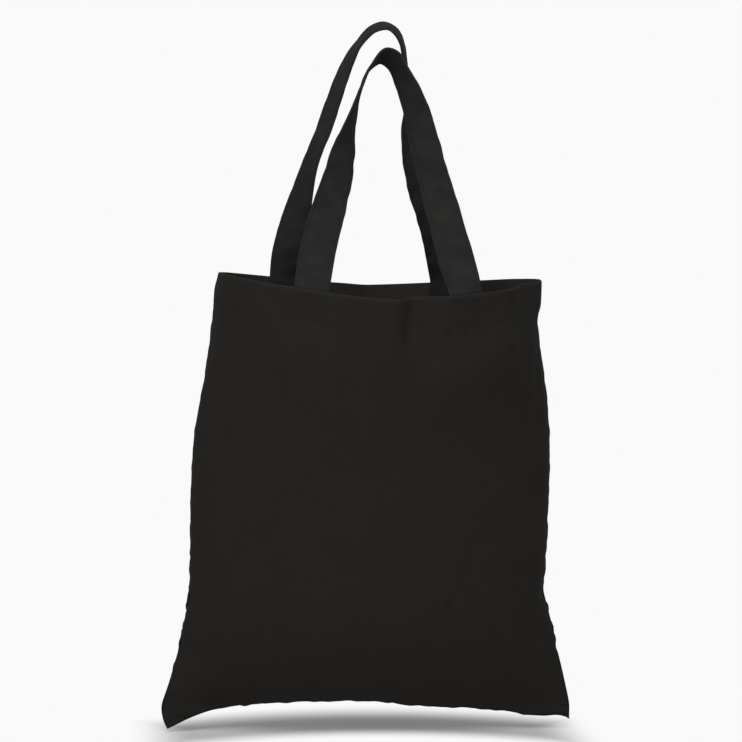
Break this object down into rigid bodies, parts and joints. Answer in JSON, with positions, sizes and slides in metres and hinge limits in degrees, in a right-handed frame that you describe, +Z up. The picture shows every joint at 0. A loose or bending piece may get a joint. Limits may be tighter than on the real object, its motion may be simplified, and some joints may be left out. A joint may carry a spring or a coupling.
{
  "type": "canvas tote bag",
  "caption": "Open-topped flat-sewn canvas tote bag with a turned hem and a pair of self-fabric strap handles, hanging filled out from its handles.",
  "frame": {"origin": "the grip: where a hook or a hand carries both handles, just under the top of the front handle, in the bag's middle plane", "axes": "+Z up, from the bag to the grip; -Y towards the front panel; X along the mouth, from side seam to side seam"},
  "size_m": [0.368, 0.1858, 0.6419],
  "materials": {
    "canvas": "black cotton canvas, plain weave, matt",
    "strap_canvas": "black cotton canvas folded into a flat strap, matt",
    "seam_overlock": "black canvas edges bound with overlock thread",
    "thread": "black spun polyester sewing thread, slight sheen"
  },
  "bodies": {
    "bag": {"front_panel": "canvas", "back_panel": "canvas", "left_side_seam": "seam_overlock", "right_side_seam": "seam_overlock", "bottom_seam": "seam_overlock", "front_handle_sewn_ends": "strap_canvas", "back_handle_sewn_ends": "strap_canvas", "front_hem_stitching": "thread", "back_hem_stitching": "thread", "front_left_box_stitching": "thread", "front_right_box_stitching": "thread", "back_left_box_stitching": "thread", "back_right_box_stitching": "thread"},
    "front_handle": {"front_handle": "strap_canvas", "front_handle_stitching": "thread"},
    "back_handle": {"back_handle": "strap_canvas", "back_handle_stitching": "thread"}
  },
  "joints": [
    {"name": "front_handle_swing", "type": "hinge", "parent": "bag", "child": "front_handle", "pos_m": [0, -0.08829, -0.19455], "axis": [1, 0, 0], "range_deg": [0, 175]},
    {"name": "back_handle_swing", "type": "hinge", "parent": "bag", "child": "back_handle", "pos_m": [0, 0.08532, -0.19353], "axis": [-1, 0, 0], "range_deg": [0, 175]}
  ]
}
